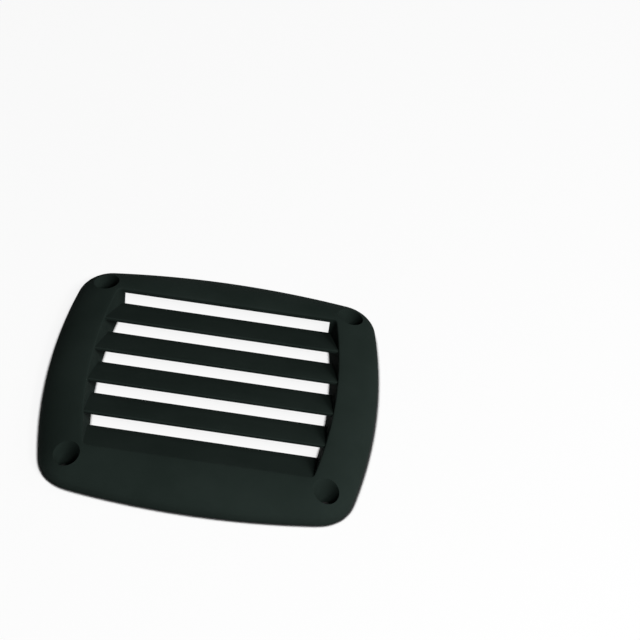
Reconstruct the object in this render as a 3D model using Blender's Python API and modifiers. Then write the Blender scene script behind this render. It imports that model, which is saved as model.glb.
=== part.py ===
"""Louvred vent: a moulded plastic air vent with five slots, fixed by four countersunk screws.

It lies on its back on the XY plane with its face up. X runs along the slats and +Y points
to the top of the vent, so air leaves under the front edge of each slat towards -Y.
The moulding is one piece: a pillow-shaped frame, hollow at the back, with sloping slats
across its opening and a screw boss in each corner.
"""
import math

import bmesh
import bpy

MM = 0.001

# Frame seen from the front
WIDTH = 102.0 * MM
HEIGHT = 92.0 * MM
SIDE_BOW_RADIUS = 168.0 * MM
END_BOW_RADIUS = 248.0 * MM
CORNER_RADIUS = 11.5 * MM
SIDE_BORDER = 13.0 * MM
END_BORDER = 14.0 * MM
OPENING_CORNER_RADIUS = 1.5 * MM

# Frame in section
THICKNESS = 8.8 * MM
EDGE_HEIGHT = 2.4 * MM
PILLOW_POWER = 1.7
LIP_RADIUS = 0.5 * MM
OPENING_TAPER = 2.0 * MM
WALL = 2.1 * MM

# Slats
SLOT_COUNT = 5
SLAT_THICKNESS = 1.25 * MM
SLAT_SET_BACK = 0.25 * MM
SLAT_BACK_HEIGHT = 2.3 * MM

# Screw holes
HOLE_FROM_SIDE = 11.55 * MM
HOLE_FROM_END = 10.2 * MM
HOLE_DIAMETER = 4.0 * MM
HOLE_LENGTH = 2.2 * MM
CONE_DIAMETER = 9.2 * MM
BOSS_DIAMETER = 11.2 * MM

# Smoothness of the curves
ARC_STEPS = 7
PILLOW_STEPS = 7
LIP_STEPS = 3
HOLE_STEPS = 36

# How far a cutter runs past what it cuts, and how near two corners are to be one
OVERRUN = 1.0 * MM
SAME_POINT = 0.02 * MM

FORM_NAME = "louvred_vent"

# Places worked out from the sizes above
PITCH = (HEIGHT - 2 * END_BORDER) / SLOT_COUNT
SLAT_FRONT = THICKNESS - SLAT_SET_BACK
SLAT_SLOPE = math.atan2(SLAT_FRONT - SLAT_BACK_HEIGHT, PITCH)
SLAT_EDGE = SLAT_THICKNESS / math.cos(SLAT_SLOPE)
OPENING_HALF_HEIGHT = HEIGHT / 2 - END_BORDER


def clear_scene():
    for old in list(bpy.data.objects):
        bpy.data.objects.remove(old, do_unlink=True)


def new_collection(name):
    collection = bpy.data.collections.new(name)
    bpy.context.scene.collection.children.link(collection)
    return collection


def arc(centre, radius, start, stop, steps):
    """Points along an arc, from the start angle to the stop angle, both included."""
    points = []
    for step in range(steps + 1):
        angle = start + (stop - start) * step / steps
        points.append((centre[0] + radius * math.cos(angle), centre[1] + radius * math.sin(angle)))
    return points


def bowed_corner(side_centre, side_radius, end_centre, end_radius):
    """Where two circles cross, above and to the right of their centres."""
    gap_x = -side_centre
    gap_y = end_centre
    distance = math.hypot(gap_x, gap_y)
    along = (side_radius ** 2 - end_radius ** 2 + distance ** 2) / (2 * distance)
    across = math.sqrt(side_radius ** 2 - along ** 2)
    unit = (gap_x / distance, gap_y / distance)
    return (side_centre + unit[0] * along - unit[1] * across, unit[1] * along + unit[0] * across)


def mirror_quarter(quarter):
    """A closed outline from its first quarter, which runs from the X axis to the Y axis."""
    left = [(-x, y) for x, y in reversed(quarter[:-1])]
    upper = quarter + left
    lower = [(x, -y) for x, y in reversed(upper[1:-1])]
    return upper + lower


def frame_outline(inset):
    """The frame's bowed outline, moved inwards by the inset."""
    side_centre = WIDTH / 2 - SIDE_BOW_RADIUS
    end_centre = HEIGHT / 2 - END_BOW_RADIUS
    side_radius = SIDE_BOW_RADIUS - inset
    end_radius = END_BOW_RADIUS - inset
    corner_radius = CORNER_RADIUS - inset
    corner = bowed_corner(
        side_centre, side_radius - corner_radius, end_centre, end_radius - corner_radius
    )
    side_end = math.atan2(corner[1], corner[0] - side_centre)
    end_start = math.atan2(corner[1] - end_centre, corner[0])
    quarter = arc((side_centre, 0.0), side_radius, 0.0, side_end, ARC_STEPS)
    quarter += arc(corner, corner_radius, side_end, end_start, ARC_STEPS)[1:]
    quarter += arc((0.0, end_centre), end_radius, end_start, math.pi / 2, ARC_STEPS)[1:]
    return mirror_quarter(quarter)


def opening_outline(growth, taper):
    """The opening's outline: sides that follow the frame's bow, and straight ends."""
    side_centre = WIDTH / 2 - SIDE_BOW_RADIUS - taper
    side_radius = SIDE_BOW_RADIUS - SIDE_BORDER + growth
    half_height = OPENING_HALF_HEIGHT + growth
    corner_radius = OPENING_CORNER_RADIUS + max(growth, 0.0)
    corner_y = half_height - corner_radius
    corner_x = side_centre + math.sqrt((side_radius - corner_radius) ** 2 - corner_y ** 2)
    side_end = math.atan2(corner_y, corner_x - side_centre)
    quarter = arc((side_centre, 0.0), side_radius, 0.0, side_end, ARC_STEPS)
    quarter += arc((corner_x, corner_y), corner_radius, side_end, math.pi / 2, ARC_STEPS)[1:]
    for step in range(1, ARC_STEPS + 1):
        quarter.append((corner_x * (1 - step / ARC_STEPS), half_height))
    return mirror_quarter(quarter)


def level_ring(outline, height):
    return [(x, y, height) for x, y in outline]


def blended_ring(outer, inner, share, height):
    """A ring that lies the given share of the way from one outline to another."""
    ring = []
    for (x0, y0), (x1, y1) in zip(outer, inner):
        ring.append((x0 + (x1 - x0) * share, y0 + (y1 - y0) * share, height))
    return ring


def pillow_rings(outer, inner, low, high, steps):
    """The rounded face of the frame: steep at the rim and flat at the opening."""
    rings = []
    for step in range(1, steps + 1):
        angle = math.pi / 2 * step / steps
        share = 1 - math.cos(angle) ** (2 / PILLOW_POWER)
        rise = math.sin(angle) ** (2 / PILLOW_POWER)
        rings.append(blended_ring(outer, inner, share, low + (high - low) * rise))
    return rings


def lofted_mesh(name, rings, closed_loop):
    """A skin through rings of equally many points; a closed loop joins the last to the first."""
    mesh = bpy.data.meshes.new(name)
    shape = bmesh.new()
    loops = [[shape.verts.new(point) for point in ring] for ring in rings]
    count = len(loops[0])
    pairs = list(zip(loops, loops[1:]))
    if closed_loop:
        pairs.append((loops[-1], loops[0]))
    else:
        shape.faces.new(list(reversed(loops[0])))
        shape.faces.new(loops[-1])
    for lower, upper in pairs:
        for index in range(count):
            after = (index + 1) % count
            shape.faces.new((lower[index], lower[after], upper[after], upper[index]))
    bmesh.ops.recalc_face_normals(shape, faces=shape.faces)
    shape.to_mesh(mesh)
    shape.free()
    return mesh


def add_object(name, mesh, collection):
    thing = bpy.data.objects.new(name, mesh)
    collection.objects.link(thing)
    return thing


def add_guide(name, mesh, collection):
    guide = add_object(name, mesh, collection)
    guide.hide_render = True
    guide.display_type = "WIRE"
    return guide


def combine(target, tool, operation):
    """A Boolean with the tool, after which corners that all but touch are made one."""
    boolean = target.modifiers.new(tool.name, "BOOLEAN")
    boolean.operation = operation
    boolean.solver = "EXACT"
    boolean.object = tool
    join = target.modifiers.new("join_" + tool.name, "WELD")
    join.merge_threshold = SAME_POINT


def frame_mesh():
    """The frame as a solid ring: rim, pillow, rounded lip and the opening's tapered wall."""
    outline = frame_outline(0.0)
    lip_outline = opening_outline(LIP_RADIUS, 0.0)
    rings = [level_ring(outline, 0.0), level_ring(outline, EDGE_HEIGHT)]
    rings += pillow_rings(outline, lip_outline, EDGE_HEIGHT, THICKNESS, PILLOW_STEPS)
    for step in range(1, LIP_STEPS + 1):
        angle = math.pi / 2 * step / LIP_STEPS
        growth = LIP_RADIUS * (1 - math.sin(angle))
        drop = LIP_RADIUS * (1 - math.cos(angle))
        rings.append(level_ring(opening_outline(growth, 0.0), THICKNESS - drop))
    rings.append(level_ring(opening_outline(0.0, OPENING_TAPER), 0.0))
    return lofted_mesh("frame", rings, closed_loop=True)


def hollow_mesh():
    """The hollow behind the frame's face, one wall inside it all round."""
    outline = frame_outline(WALL)
    wall_top = opening_outline(WALL, 0.0)
    wall_foot = opening_outline(WALL, OPENING_TAPER)
    rings = [level_ring(outline, -OVERRUN), level_ring(outline, EDGE_HEIGHT)]
    rings += pillow_rings(outline, wall_top, EDGE_HEIGHT, THICKNESS - WALL, PILLOW_STEPS)
    rings.append(level_ring(wall_foot, 0.0))
    rings.append(level_ring(wall_foot, -OVERRUN))
    return lofted_mesh("hollow", rings, closed_loop=True)


def hole_centres():
    x = WIDTH / 2 - HOLE_FROM_SIDE
    y = HEIGHT / 2 - HOLE_FROM_END
    return [(x, y), (-x, y), (-x, -y), (x, -y)]


def boss_mesh():
    """The four corners where the hollow leaves a solid post for a screw."""
    mesh = bpy.data.meshes.new("bosses")
    shape = bmesh.new()
    radius = BOSS_DIAMETER / 2
    height = THICKNESS + 4 * OVERRUN
    for x, y in hole_centres():
        made = bmesh.ops.create_cone(
            shape, cap_ends=True, segments=HOLE_STEPS, radius1=radius, radius2=radius, depth=height
        )
        bmesh.ops.translate(shape, verts=made["verts"], vec=(x, y, height / 2 - 2 * OVERRUN))
    shape.to_mesh(mesh)
    shape.free()
    return mesh


def screw_pocket(name, x, y, collection):
    """A through hole that opens out in a deep cone for the screw's head, turned about Z."""
    hole = HOLE_DIAMETER / 2
    spread = (CONE_DIAMETER / 2 - hole) / (THICKNESS - HOLE_LENGTH)
    profile = [
        (0.0, THICKNESS + OVERRUN),
        (CONE_DIAMETER / 2 + spread * OVERRUN, THICKNESS + OVERRUN),
        (hole, HOLE_LENGTH),
        (hole, -OVERRUN),
        (0.0, -OVERRUN),
    ]
    mesh = bpy.data.meshes.new(name)
    shape = bmesh.new()
    points = [shape.verts.new((radius, 0.0, height)) for radius, height in profile]
    for first, second in zip(points, points[1:]):
        shape.edges.new((first, second))
    shape.to_mesh(mesh)
    shape.free()
    pocket = add_guide(name, mesh, collection)
    pocket.location = (x, y, 0.0)
    turn = pocket.modifiers.new("turn", "SCREW")
    turn.steps = HOLE_STEPS
    turn.render_steps = HOLE_STEPS
    turn.use_merge_vertices = True
    turn.merge_threshold = SAME_POINT
    return pocket


def slat_profile(front_y, root):
    """A slat in section, as (y, z): its root runs back into the frame where it has one."""
    back_y = front_y + PITCH
    profile = [
        (back_y, SLAT_BACK_HEIGHT - SLAT_EDGE),
        (back_y, SLAT_BACK_HEIGHT),
        (front_y, SLAT_FRONT),
    ]
    if root > 0:
        profile.append((front_y - root, SLAT_FRONT))
        profile.append((front_y - root, SLAT_FRONT - SLAT_EDGE))
    profile.append((front_y, SLAT_FRONT - SLAT_EDGE))
    return profile


def prism_mesh(name, profiles, half_length):
    """Sections in the YZ plane, each drawn out along X to both sides."""
    curve = bpy.data.curves.new(name, "CURVE")
    curve.dimensions = "2D"
    curve.fill_mode = "BOTH"
    curve.extrude = half_length
    for profile in profiles:
        spline = curve.splines.new("POLY")
        spline.points.add(len(profile) - 1)
        for point, (y, z) in zip(spline.points, profile):
            point.co = (y, z, 0.0, 1.0)
        spline.use_cyclic_u = True
    drawn = bpy.data.objects.new(name, curve)
    bpy.context.scene.collection.objects.link(drawn)
    drawn.rotation_euler = (math.pi / 2, 0.0, math.pi / 2)
    bpy.context.view_layer.update()
    mesh = bpy.data.meshes.new_from_object(drawn.evaluated_get(bpy.context.evaluated_depsgraph_get()))
    mesh.transform(drawn.matrix_world)
    bpy.data.objects.remove(drawn, do_unlink=True)
    shape = bmesh.new()
    shape.from_mesh(mesh)
    bmesh.ops.remove_doubles(shape, verts=shape.verts, dist=SAME_POINT)
    bmesh.ops.recalc_face_normals(shape, faces=shape.faces)
    shape.to_mesh(mesh)
    shape.free()
    return mesh


def slat_core_mesh():
    """The space that the slats may fill: the opening and half the wall round it."""
    rings = [
        level_ring(opening_outline(WALL / 2, OPENING_TAPER), 0.0),
        level_ring(opening_outline(WALL / 2, 0.0), THICKNESS),
    ]
    return lofted_mesh("slat_core", rings, closed_loop=False)


def slats_mesh():
    """The slats from top to bottom; the last one springs from the frame's bottom bar."""
    profiles = []
    for index in range(1, SLOT_COUNT + 1):
        front_y = OPENING_HALF_HEIGHT - index * PITCH
        root = WALL if index == SLOT_COUNT else 0.0
        profiles.append(slat_profile(front_y, root))
    return prism_mesh("slats", profiles, WIDTH / 2)


def top_passage_mesh():
    """The way out behind the frame's top bar, under its front lip."""
    foot = opening_outline(0.0, OPENING_TAPER)
    half_length = max(x for x, y in foot if y >= OPENING_HALF_HEIGHT - OPENING_CORNER_RADIUS / 2)
    low = -OVERRUN
    high = SLAT_FRONT - SLAT_EDGE
    near = OPENING_HALF_HEIGHT - OVERRUN
    far = OPENING_HALF_HEIGHT + WALL + OVERRUN
    mesh = bpy.data.meshes.new("top_passage")
    shape = bmesh.new()
    made = bmesh.ops.create_cube(shape, size=1.0)
    bmesh.ops.scale(shape, verts=made["verts"], vec=(2 * half_length, far - near, high - low))
    bmesh.ops.translate(shape, verts=made["verts"], vec=(0.0, (near + far) / 2, (low + high) / 2))
    shape.to_mesh(mesh)
    shape.free()
    return mesh


def black_plastic():
    material = bpy.data.materials.new("black_moulded_plastic")
    material.use_nodes = True
    shader = material.node_tree.nodes["Principled BSDF"]
    shader.inputs["Base Color"].default_value = (0.012, 0.019, 0.016, 1.0)
    shader.inputs["Roughness"].default_value = 0.6
    shader.inputs["Metallic"].default_value = 0.0
    return material


def build_vent():
    parts = new_collection(FORM_NAME)
    guides = new_collection("cutters")

    vent = add_object(FORM_NAME, frame_mesh(), parts)
    vent.data.materials.append(black_plastic())

    top_passage = add_guide("top_passage", top_passage_mesh(), guides)
    combine(vent, top_passage, "DIFFERENCE")

    slats = add_guide("slats", slats_mesh(), guides)
    slat_core = add_guide("slat_core", slat_core_mesh(), guides)
    combine(slats, slat_core, "INTERSECT")
    combine(vent, slats, "UNION")

    hollow = add_guide("hollow", hollow_mesh(), guides)
    bosses = add_guide("bosses", boss_mesh(), guides)
    combine(hollow, bosses, "DIFFERENCE")
    for index, (x, y) in enumerate(hole_centres(), start=1):
        pocket = screw_pocket(f"screw_pocket_{index}", x, y, guides)
        combine(hollow, pocket, "UNION")
    combine(vent, hollow, "DIFFERENCE")

    vent.data.shade_smooth()
    vent.data.set_sharp_from_angle(angle=math.radians(30))


clear_scene()
build_vent()
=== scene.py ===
"""Looks of the louvred vent: a matt near-black moulding on a white surface, in soft light."""

import math

import bmesh
import bpy
from mathutils import Matrix, Vector


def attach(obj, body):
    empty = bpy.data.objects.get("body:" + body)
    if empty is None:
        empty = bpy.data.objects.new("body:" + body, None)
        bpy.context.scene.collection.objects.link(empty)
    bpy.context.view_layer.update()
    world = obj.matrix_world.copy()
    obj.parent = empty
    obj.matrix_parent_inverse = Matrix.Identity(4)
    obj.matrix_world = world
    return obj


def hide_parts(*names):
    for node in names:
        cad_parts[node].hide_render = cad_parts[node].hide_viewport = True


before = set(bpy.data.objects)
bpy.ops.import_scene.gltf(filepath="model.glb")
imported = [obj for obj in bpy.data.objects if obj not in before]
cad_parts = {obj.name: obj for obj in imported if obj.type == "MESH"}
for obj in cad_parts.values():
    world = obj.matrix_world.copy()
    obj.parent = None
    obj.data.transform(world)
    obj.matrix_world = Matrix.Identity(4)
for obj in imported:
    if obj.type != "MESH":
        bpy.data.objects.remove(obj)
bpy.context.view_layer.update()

MM = 0.001

# The vent's sizes, as in its source
WIDTH = 102.0 * MM
HEIGHT = 92.0 * MM
SIDE_BOW_RADIUS = 168.0 * MM
END_BOW_RADIUS = 248.0 * MM
CORNER_RADIUS = 11.5 * MM
SIDE_BORDER = 13.0 * MM
END_BORDER = 14.0 * MM
OPENING_CORNER_RADIUS = 1.5 * MM
THICKNESS = 8.8 * MM
EDGE_HEIGHT = 2.4 * MM
PILLOW_POWER = 1.7
LIP_RADIUS = 0.5 * MM
OPENING_TAPER = 2.0 * MM
WALL = 2.1 * MM
SLOT_COUNT = 5
SLAT_THICKNESS = 1.25 * MM
SLAT_SET_BACK = 0.25 * MM
SLAT_BACK_HEIGHT = 2.3 * MM
HOLE_FROM_SIDE = 11.55 * MM
HOLE_FROM_END = 10.2 * MM
HOLE_DIAMETER = 4.0 * MM
HOLE_LENGTH = 2.2 * MM
CONE_DIAMETER = 9.2 * MM
BOSS_DIAMETER = 11.2 * MM

# How far a cutter reaches past what it cuts, and how close two corners count as one
OVERRUN = 1.0 * MM
SAME_POINT = 0.004 * MM

# The finer surface
ARC_STEPS = 12
PILLOW_STEPS = 16
LIP_STEPS = 5
TURN_STEPS = 64
SLAT_ROUNDING = 0.3 * MM
SLAT_ROUND_STEPS = 4
SHARP_ANGLE = math.radians(25)

# The plastic: its tint and roughness drift between two values, and its grain is a fine bump
PLASTIC_DARK = (0.0112, 0.0172, 0.0147, 1.0)
PLASTIC_LIGHT = (0.0140, 0.0208, 0.0180, 1.0)
PLASTIC_SPECULAR = 0.03
ROUGHNESS_LOW = 0.85
ROUGHNESS_HIGH = 0.95
CLOUD_SCALE = 60.0
CLOUD_DETAIL = 4.0
CLOUD_LOW = 0.35
CLOUD_HIGH = 0.65
GRAIN_SCALE = 2600.0
GRAIN_DETAIL = 3.0
GRAIN_STRENGTH = 0.12
GRAIN_DEPTH = 0.05 * MM

# The floor and its backdrop
FLOOR_RADIUS = 2.4
SWEEP_RADIUS = 0.5
BACKDROP_HEIGHT = 0.9
FLOOR_GAP = 0.05 * MM
FLOOR_WHITE = (0.8, 0.8, 0.8, 1.0)
# The colour of the painted shade in the floor's narrow places
FLOOR_PAINTED_SHADE = (0.02, 0.02, 0.02, 1.0)
FLOOR_ROUGHNESS = 0.9
FLOOR_GLOW = 0.88

# Where the floor is painted dark as shade by ambient occlusion: below the first share of open
# space within the reach, and not above the second
NARROW_REACH = 2.5 * MM
NARROW_SHARE = 0.62
OPEN_SHARE = 0.72
NARROW_SAMPLES = 16

# Lamps: name, azimuth and elevation in degrees, watts
LAMP_DISTANCE = 0.9
LAMP_SIZE = 0.2
LAMPS = [
    ("key_front", 30.0, 50.0, 5.1),
    ("key_right", 65.0, 45.0, 4.3),
    ("side_right", 110.0, 30.0, 1.3),
]
SURROUND_STRENGTH = 0.01

# Camera, from the photograph's viewing angle; its frame is 640 by 640 pixels
PHOTO_PIXELS = 640
FOCAL_PIXELS = 2450
SENSOR = 36.0
CLIP_START = 0.01
CAMERA_AIM = (29.53 * MM, 38.89 * MM, 0.0)
CAMERA_DISTANCE = 783.8 * MM
CAMERA_AZIMUTH = 0.64
CAMERA_ELEVATION = 47.72
CAMERA_ROLL = 7.79

# Places worked out from the sizes above
PITCH = (HEIGHT - 2 * END_BORDER) / SLOT_COUNT
SLAT_FRONT = THICKNESS - SLAT_SET_BACK
SLAT_SLOPE = math.atan2(SLAT_FRONT - SLAT_BACK_HEIGHT, PITCH)
SLAT_EDGE = SLAT_THICKNESS / math.cos(SLAT_SLOPE)
OPENING_HALF_HEIGHT = HEIGHT / 2 - END_BORDER


def arc(centre, radius, start, stop, steps):
    """Points along an arc, from the start angle to the stop angle, both included."""
    points = []
    for step in range(steps + 1):
        angle = start + (stop - start) * step / steps
        points.append((centre[0] + radius * math.cos(angle), centre[1] + radius * math.sin(angle)))
    return points


def bowed_corner(side_centre, side_radius, end_centre, end_radius):
    """Where two circles cross, above and to the right of their centres."""
    gap_x = -side_centre
    gap_y = end_centre
    distance = math.hypot(gap_x, gap_y)
    along = (side_radius ** 2 - end_radius ** 2 + distance ** 2) / (2 * distance)
    across = math.sqrt(side_radius ** 2 - along ** 2)
    unit = (gap_x / distance, gap_y / distance)
    return (side_centre + unit[0] * along - unit[1] * across, unit[1] * along + unit[0] * across)


def mirror_quarter(quarter):
    """A closed outline from its first quarter, which runs from the X axis to the Y axis."""
    left = [(-x, y) for x, y in reversed(quarter[:-1])]
    upper = quarter + left
    lower = [(x, -y) for x, y in reversed(upper[1:-1])]
    return upper + lower


def frame_outline(inset):
    """The frame's bowed outline, moved inwards by the inset."""
    side_centre = WIDTH / 2 - SIDE_BOW_RADIUS
    end_centre = HEIGHT / 2 - END_BOW_RADIUS
    side_radius = SIDE_BOW_RADIUS - inset
    end_radius = END_BOW_RADIUS - inset
    corner_radius = CORNER_RADIUS - inset
    corner = bowed_corner(
        side_centre, side_radius - corner_radius, end_centre, end_radius - corner_radius
    )
    side_end = math.atan2(corner[1], corner[0] - side_centre)
    end_start = math.atan2(corner[1] - end_centre, corner[0])
    quarter = arc((side_centre, 0.0), side_radius, 0.0, side_end, ARC_STEPS)
    quarter += arc(corner, corner_radius, side_end, end_start, ARC_STEPS)[1:]
    quarter += arc((0.0, end_centre), end_radius, end_start, math.pi / 2, ARC_STEPS)[1:]
    return mirror_quarter(quarter)


def opening_outline(growth, taper):
    """The opening's outline: sides that follow the frame's bow, and straight ends."""
    side_centre = WIDTH / 2 - SIDE_BOW_RADIUS - taper
    side_radius = SIDE_BOW_RADIUS - SIDE_BORDER + growth
    half_height = OPENING_HALF_HEIGHT + growth
    corner_radius = OPENING_CORNER_RADIUS + max(growth, 0.0)
    corner_y = half_height - corner_radius
    corner_x = side_centre + math.sqrt((side_radius - corner_radius) ** 2 - corner_y ** 2)
    side_end = math.atan2(corner_y, corner_x - side_centre)
    quarter = arc((side_centre, 0.0), side_radius, 0.0, side_end, ARC_STEPS)
    quarter += arc((corner_x, corner_y), corner_radius, side_end, math.pi / 2, ARC_STEPS)[1:]
    for step in range(1, ARC_STEPS + 1):
        quarter.append((corner_x * (1 - step / ARC_STEPS), half_height))
    return mirror_quarter(quarter)


def level_ring(outline, height):
    """The outline laid flat at the given height."""
    return [(x, y, height) for x, y in outline]


def blended_ring(outer, inner, share, height):
    """A ring that lies the given share of the way from one outline to another."""
    ring = []
    for (x0, y0), (x1, y1) in zip(outer, inner):
        ring.append((x0 + (x1 - x0) * share, y0 + (y1 - y0) * share, height))
    return ring


def pillow_rings(outer, inner, low, high, steps):
    """The rounded face of the frame: steep at the rim and flat at the opening."""
    rings = []
    for step in range(1, steps + 1):
        angle = math.pi / 2 * step / steps
        share = 1 - math.cos(angle) ** (2 / PILLOW_POWER)
        rise = math.sin(angle) ** (2 / PILLOW_POWER)
        rings.append(blended_ring(outer, inner, share, low + (high - low) * rise))
    return rings


def lofted_mesh(name, rings, closed_loop):
    """A skin through rings of equally many points; a closed loop joins the last to the first."""
    mesh = bpy.data.meshes.new(name)
    shape = bmesh.new()
    loops = [[shape.verts.new(point) for point in ring] for ring in rings]
    count = len(loops[0])
    pairs = list(zip(loops, loops[1:]))
    if closed_loop:
        pairs.append((loops[-1], loops[0]))
    else:
        shape.faces.new(list(reversed(loops[0])))
        shape.faces.new(loops[-1])
    for lower, upper in pairs:
        for index in range(count):
            after = (index + 1) % count
            shape.faces.new((lower[index], lower[after], upper[after], upper[index]))
    bmesh.ops.recalc_face_normals(shape, faces=shape.faces)
    shape.to_mesh(mesh)
    shape.free()
    return mesh


def add_object(name, data):
    """An object in the scene for a mesh, curve, lamp or camera."""
    thing = bpy.data.objects.new(name, data)
    bpy.context.scene.collection.objects.link(thing)
    return thing


def combine(target, tool, operation):
    """A Boolean with the tool, after which corners that all but touch are made one."""
    boolean = target.modifiers.new(tool.name, "BOOLEAN")
    boolean.operation = operation
    boolean.solver = "EXACT"
    boolean.object = tool
    join = target.modifiers.new("join_" + tool.name, "WELD")
    join.merge_threshold = SAME_POINT


def evaluated_mesh(thing):
    """A new mesh of the object as its modifiers or its curve make it."""
    graph = bpy.context.evaluated_depsgraph_get()
    return bpy.data.meshes.new_from_object(thing.evaluated_get(graph))


def apply_modifiers(thing):
    """Makes the object's modifiers part of its mesh."""
    mesh = evaluated_mesh(thing)
    thing.modifiers.clear()
    thing.data = mesh


def frame_mesh():
    """The frame as a solid ring: rim, pillow, rounded lip and the opening's tapered wall."""
    outline = frame_outline(0.0)
    lip_outline = opening_outline(LIP_RADIUS, 0.0)
    rings = [level_ring(outline, 0.0), level_ring(outline, EDGE_HEIGHT)]
    rings += pillow_rings(outline, lip_outline, EDGE_HEIGHT, THICKNESS, PILLOW_STEPS)
    for step in range(1, LIP_STEPS + 1):
        angle = math.pi / 2 * step / LIP_STEPS
        growth = LIP_RADIUS * (1 - math.sin(angle))
        drop = LIP_RADIUS * (1 - math.cos(angle))
        rings.append(level_ring(opening_outline(growth, 0.0), THICKNESS - drop))
    rings.append(level_ring(opening_outline(0.0, OPENING_TAPER), 0.0))
    return lofted_mesh("frame", rings, closed_loop=True)


def hollow_mesh():
    """The hollow behind the frame's face, one wall inside it all round."""
    outline = frame_outline(WALL)
    wall_top = opening_outline(WALL, 0.0)
    wall_foot = opening_outline(WALL, OPENING_TAPER)
    rings = [level_ring(outline, -OVERRUN), level_ring(outline, EDGE_HEIGHT)]
    rings += pillow_rings(outline, wall_top, EDGE_HEIGHT, THICKNESS - WALL, PILLOW_STEPS)
    rings.append(level_ring(wall_foot, 0.0))
    rings.append(level_ring(wall_foot, -OVERRUN))
    return lofted_mesh("hollow", rings, closed_loop=True)


def hole_centres():
    """The four screw holes, one in each corner."""
    x = WIDTH / 2 - HOLE_FROM_SIDE
    y = HEIGHT / 2 - HOLE_FROM_END
    return [(x, y), (-x, y), (-x, -y), (x, -y)]


def boss_mesh():
    """The four corners where the hollow leaves a solid post for a screw."""
    mesh = bpy.data.meshes.new("bosses")
    shape = bmesh.new()
    radius = BOSS_DIAMETER / 2
    height = THICKNESS + 4 * OVERRUN
    for x, y in hole_centres():
        made = bmesh.ops.create_cone(
            shape, cap_ends=True, segments=TURN_STEPS, radius1=radius, radius2=radius, depth=height
        )
        bmesh.ops.translate(shape, verts=made["verts"], vec=(x, y, height / 2 - 2 * OVERRUN))
    shape.to_mesh(mesh)
    shape.free()
    return mesh


def turned(name, profile):
    """A profile of radii and heights, turned about Z."""
    mesh = bpy.data.meshes.new(name)
    shape = bmesh.new()
    points = [shape.verts.new((radius, 0.0, height)) for radius, height in profile]
    for first, second in zip(points, points[1:]):
        shape.edges.new((first, second))
    shape.to_mesh(mesh)
    shape.free()
    thing = add_object(name, mesh)
    turn = thing.modifiers.new("turn", "SCREW")
    turn.steps = TURN_STEPS
    turn.render_steps = TURN_STEPS
    turn.use_merge_vertices = True
    turn.merge_threshold = SAME_POINT
    return thing


def screw_pocket(name, x, y):
    """A through hole that opens out in a deep cone for the screw's head, turned about Z."""
    hole = HOLE_DIAMETER / 2
    spread = (CONE_DIAMETER / 2 - hole) / (THICKNESS - HOLE_LENGTH)
    profile = [
        (0.0, THICKNESS + OVERRUN),
        (CONE_DIAMETER / 2 + spread * OVERRUN, THICKNESS + OVERRUN),
        (hole, HOLE_LENGTH),
        (hole, -OVERRUN),
        (0.0, -OVERRUN),
    ]
    pocket = turned(name, profile)
    pocket.location = (x, y, 0.0)
    return pocket


def rounded(corners, radii):
    """A closed outline whose corners are rounded by the radius given for each."""
    points = []
    count = len(corners)
    for index, radius in enumerate(radii):
        here = Vector(corners[index])
        before = (Vector(corners[index - 1]) - here).normalized()
        after = (Vector(corners[(index + 1) % count]) - here).normalized()
        if radius == 0:
            points.append(tuple(here))
            continue
        half = before.angle(after) / 2
        centre = here + (before + after).normalized() * (radius / math.sin(half))
        start = here + before * (radius / math.tan(half)) - centre
        stop = here + after * (radius / math.tan(half)) - centre
        turn = start.angle_signed(stop)
        for step in range(SLAT_ROUND_STEPS + 1):
            spin = Matrix.Rotation(-turn * step / SLAT_ROUND_STEPS, 2)
            points.append(tuple(centre + spin @ start))
    return points


def slat_profile(front_y, root):
    """A slat in section, as (y, z): its root runs back into the frame where it has one."""
    back_y = front_y + PITCH
    back = [(back_y, SLAT_BACK_HEIGHT - SLAT_EDGE), (back_y, SLAT_BACK_HEIGHT)]
    if root > 0:
        front = [
            (front_y, SLAT_FRONT),
            (front_y - root, SLAT_FRONT),
            (front_y - root, SLAT_FRONT - SLAT_EDGE),
            (front_y, SLAT_FRONT - SLAT_EDGE),
        ]
        return rounded(back + front, [SLAT_ROUNDING] * 2 + [0.0] * 4)
    front = [(front_y, SLAT_FRONT), (front_y, SLAT_FRONT - SLAT_EDGE)]
    return rounded(back + front, [SLAT_ROUNDING] * 4)


def prism_mesh(name, profiles, half_length):
    """Sections in the YZ plane, each drawn out along X to both sides."""
    curve = bpy.data.curves.new(name, "CURVE")
    curve.dimensions = "2D"
    curve.fill_mode = "BOTH"
    curve.extrude = half_length
    for profile in profiles:
        spline = curve.splines.new("POLY")
        spline.points.add(len(profile) - 1)
        for point, (y, z) in zip(spline.points, profile):
            point.co = (y, z, 0.0, 1.0)
        spline.use_cyclic_u = True
    drawn = add_object(name, curve)
    drawn.rotation_euler = (math.pi / 2, 0.0, math.pi / 2)
    bpy.context.view_layer.update()
    mesh = evaluated_mesh(drawn)
    mesh.transform(drawn.matrix_world)
    bpy.data.objects.remove(drawn, do_unlink=True)
    shape = bmesh.new()
    shape.from_mesh(mesh)
    bmesh.ops.remove_doubles(shape, verts=shape.verts, dist=SAME_POINT)
    bmesh.ops.recalc_face_normals(shape, faces=shape.faces)
    shape.to_mesh(mesh)
    shape.free()
    return mesh


def slat_core_mesh():
    """The space that the slats may fill: the opening and half the wall round it."""
    rings = [
        level_ring(opening_outline(WALL / 2, OPENING_TAPER), 0.0),
        level_ring(opening_outline(WALL / 2, 0.0), THICKNESS),
    ]
    return lofted_mesh("slat_core", rings, closed_loop=False)


def slats_mesh():
    """The slats from top to bottom; the last one springs from the frame's bottom bar."""
    profiles = []
    for index in range(1, SLOT_COUNT + 1):
        front_y = OPENING_HALF_HEIGHT - index * PITCH
        root = WALL if index == SLOT_COUNT else 0.0
        profiles.append(slat_profile(front_y, root))
    return prism_mesh("slats", profiles, WIDTH / 2)


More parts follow.
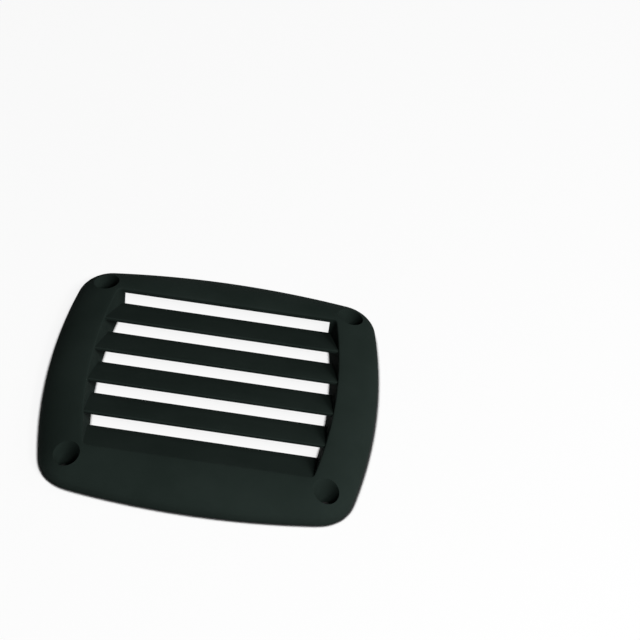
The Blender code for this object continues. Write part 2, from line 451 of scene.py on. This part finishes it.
def top_passage_mesh():
    """The way out behind the frame's top bar, under its front lip."""
    foot = opening_outline(0.0, OPENING_TAPER)
    half_length = max(x for x, y in foot if y >= OPENING_HALF_HEIGHT - OPENING_CORNER_RADIUS / 2)
    low = -OVERRUN
    high = SLAT_FRONT - SLAT_EDGE
    near = OPENING_HALF_HEIGHT - OVERRUN
    far = OPENING_HALF_HEIGHT + WALL + OVERRUN
    mesh = bpy.data.meshes.new("top_passage")
    shape = bmesh.new()
    made = bmesh.ops.create_cube(shape, size=1.0)
    bmesh.ops.scale(shape, verts=made["verts"], vec=(2 * half_length, far - near, high - low))
    bmesh.ops.translate(shape, verts=made["verts"], vec=(0.0, (near + far) / 2, (low + high) / 2))
    shape.to_mesh(mesh)
    shape.free()
    return mesh


def vent_skin():
    """The vent's moulding with a finer surface and rounded edges."""
    vent = add_object("louvred_vent_skin", frame_mesh())
    top_passage = add_object("top_passage", top_passage_mesh())
    slats = add_object("slats", slats_mesh())
    slat_core = add_object("slat_core", slat_core_mesh())
    hollow = add_object("hollow", hollow_mesh())
    bosses = add_object("bosses", boss_mesh())
    combine(vent, top_passage, "DIFFERENCE")
    combine(slats, slat_core, "INTERSECT")
    combine(vent, slats, "UNION")
    combine(hollow, bosses, "DIFFERENCE")
    pockets = []
    for index, (x, y) in enumerate(hole_centres(), start=1):
        pocket = screw_pocket(f"screw_pocket_{index}", x, y)
        combine(hollow, pocket, "UNION")
        pockets.append(pocket)
    combine(vent, hollow, "DIFFERENCE")
    apply_modifiers(vent)
    for guide in [hollow, bosses, top_passage, slats, slat_core] + pockets:
        bpy.data.objects.remove(guide, do_unlink=True)
    vent.data.shade_smooth()
    vent.data.set_sharp_from_angle(angle=SHARP_ANGLE)
    return vent


def plastic_material():
    """Near-black plastic with the fine, faint grain of a moulded face."""
    material = bpy.data.materials.new("black_moulded_plastic")
    material.use_nodes = True
    nodes = material.node_tree.nodes
    links = material.node_tree.links
    shader = nodes["Principled BSDF"]
    shader.inputs["Specular IOR Level"].default_value = PLASTIC_SPECULAR
    place = nodes.new("ShaderNodeTexCoord")
    grain = nodes.new("ShaderNodeTexNoise")
    grain.inputs["Scale"].default_value = GRAIN_SCALE
    grain.inputs["Detail"].default_value = GRAIN_DETAIL
    links.new(place.outputs["Object"], grain.inputs["Vector"])
    bump = nodes.new("ShaderNodeBump")
    bump.inputs["Strength"].default_value = GRAIN_STRENGTH
    bump.inputs["Distance"].default_value = GRAIN_DEPTH
    links.new(grain.outputs["Fac"], bump.inputs["Height"])
    links.new(bump.outputs["Normal"], shader.inputs["Normal"])
    clouds = nodes.new("ShaderNodeTexNoise")
    clouds.inputs["Scale"].default_value = CLOUD_SCALE
    clouds.inputs["Detail"].default_value = CLOUD_DETAIL
    links.new(place.outputs["Object"], clouds.inputs["Vector"])
    tint = nodes.new("ShaderNodeValToRGB")
    dark, light = tint.color_ramp.elements
    dark.position = CLOUD_LOW
    dark.color = PLASTIC_DARK
    light.position = CLOUD_HIGH
    light.color = PLASTIC_LIGHT
    links.new(clouds.outputs["Fac"], tint.inputs["Fac"])
    links.new(tint.outputs["Color"], shader.inputs["Base Color"])
    roughness = nodes.new("ShaderNodeMapRange")
    roughness.inputs["To Min"].default_value = ROUGHNESS_LOW
    roughness.inputs["To Max"].default_value = ROUGHNESS_HIGH
    links.new(clouds.outputs["Fac"], roughness.inputs["Value"])
    links.new(roughness.outputs["Result"], shader.inputs["Roughness"])
    return material


def calculated(nodes, links, operation, first, second):
    """The result of an operation on two outputs, or on an output and a plain number."""
    node = nodes.new("ShaderNodeMath")
    node.operation = operation
    links.new(first, node.inputs[0])
    if isinstance(second, float):
        node.inputs[1].default_value = second
    else:
        links.new(second, node.inputs[1])
    return node.outputs["Value"]


def seen_rays(nodes, links):
    """An output that is 1 for camera, glossy and transmission rays, and 0 for all others."""
    rays = nodes.new("ShaderNodeLightPath").outputs
    seen = calculated(nodes, links, "MAXIMUM", rays["Is Camera Ray"], rays["Is Glossy Ray"])
    return calculated(nodes, links, "MAXIMUM", seen, rays["Is Transmission Ray"])


def floor_material():
    """A white surface that keeps the vent's shadow, with painted shade that darkens it in narrow
    places.
    """
    material = bpy.data.materials.new("white_surface")
    material.use_nodes = True
    nodes = material.node_tree.nodes
    links = material.node_tree.links
    shader = nodes["Principled BSDF"]
    shader.inputs["Roughness"].default_value = FLOOR_ROUGHNESS
    # Painted shade: ambient occlusion darkens the floor's colour and fades its white glow in narrow
    # places, such as inside the screw holes and along the vent's foot
    openness = nodes.new("ShaderNodeAmbientOcclusion")
    openness.samples = NARROW_SAMPLES
    openness.inputs["Distance"].default_value = NARROW_REACH
    painted_shade_mask = nodes.new("ShaderNodeMapRange")
    painted_shade_mask.inputs["From Min"].default_value = NARROW_SHARE
    painted_shade_mask.inputs["From Max"].default_value = OPEN_SHARE
    links.new(openness.outputs["AO"], painted_shade_mask.inputs["Value"])
    shade = nodes.new("ShaderNodeValToRGB")
    shade.color_ramp.elements[0].color = FLOOR_PAINTED_SHADE
    shade.color_ramp.elements[1].color = FLOOR_WHITE
    links.new(painted_shade_mask.outputs["Result"], shade.inputs["Fac"])
    links.new(shade.outputs["Color"], shader.inputs["Base Color"])
    white = nodes.new("ShaderNodeEmission")
    white.inputs["Strength"].default_value = 1.0
    glow = calculated(nodes, links, "MULTIPLY", seen_rays(nodes, links), FLOOR_GLOW)
    blend = nodes.new("ShaderNodeMixShader")
    # The white glow fades with the painted shade
    links.new(
        calculated(nodes, links, "MULTIPLY", glow, painted_shade_mask.outputs["Result"]), blend.inputs["Fac"]
    )
    links.new(shader.outputs["BSDF"], blend.inputs[1])
    links.new(white.outputs["Emission"], blend.inputs[2])
    links.new(blend.outputs["Shader"], nodes["Material Output"].inputs["Surface"])
    return material


def make_floor():
    """A round floor whose rim sweeps up into a low backdrop."""
    profile = [(0.0, 0.0)]
    profile += arc((FLOOR_RADIUS, SWEEP_RADIUS), SWEEP_RADIUS, -math.pi / 2, 0.0, ARC_STEPS)
    profile.append((FLOOR_RADIUS + SWEEP_RADIUS, BACKDROP_HEIGHT))
    floor = turned("floor", profile)
    floor.location = (0.0, 0.0, -FLOOR_GAP)
    floor.data.materials.append(floor_material())


def area_light(name, azimuth, elevation, watts):
    """A soft lamp that looks at the vent; azimuth 0 is on the camera's side and 90 to the right."""
    data = bpy.data.lights.new(name, "AREA")
    data.shape = "DISK"
    data.size = LAMP_SIZE
    data.energy = watts
    lamp = add_object(name, data)
    turn = math.radians(azimuth)
    lift = math.radians(elevation)
    level = math.cos(lift)
    away = Vector((math.sin(turn) * level, -math.cos(turn) * level, math.sin(lift)))
    lamp.location = away * LAMP_DISTANCE
    lamp.rotation_euler = away.to_track_quat("Z", "Y").to_euler()


def make_world():
    """A faint, even white light from all round."""
    world = bpy.data.worlds.new("studio")
    bpy.context.scene.world = world
    world.use_nodes = True
    surround = world.node_tree.nodes["Background"]
    surround.inputs["Color"].default_value = (1.0, 1.0, 1.0, 1.0)
    surround.inputs["Strength"].default_value = SURROUND_STRENGTH


def make_camera():
    """The camera looks at its aim point from in front and above, tipped to the photograph's slant."""
    data = bpy.data.cameras.new("camera")
    data.sensor_width = SENSOR
    data.lens = SENSOR * FOCAL_PIXELS / PHOTO_PIXELS
    data.clip_start = CLIP_START
    camera = add_object("camera", data)
    turn = Matrix.Rotation(math.radians(CAMERA_AZIMUTH), 4, "Z")
    lift = Matrix.Rotation(math.radians(90.0 - CAMERA_ELEVATION), 4, "X")
    back = Matrix.Translation((0.0, 0.0, CAMERA_DISTANCE))
    roll = Matrix.Rotation(math.radians(CAMERA_ROLL), 4, "Z")
    camera.matrix_world = Matrix.Translation(CAMERA_AIM) @ turn @ lift @ back @ roll
    bpy.context.scene.camera = camera


vent = vent_skin()
vent.data.materials.clear()
vent.data.materials.append(plastic_material())
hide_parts("louvred_vent")
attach(vent, "root")

make_floor()
make_world()
make_camera()
for name, azimuth, elevation, watts in LAMPS:
    area_light(name, azimuth, elevation, watts)

bpy.context.scene.view_settings.view_transform = "Standard"
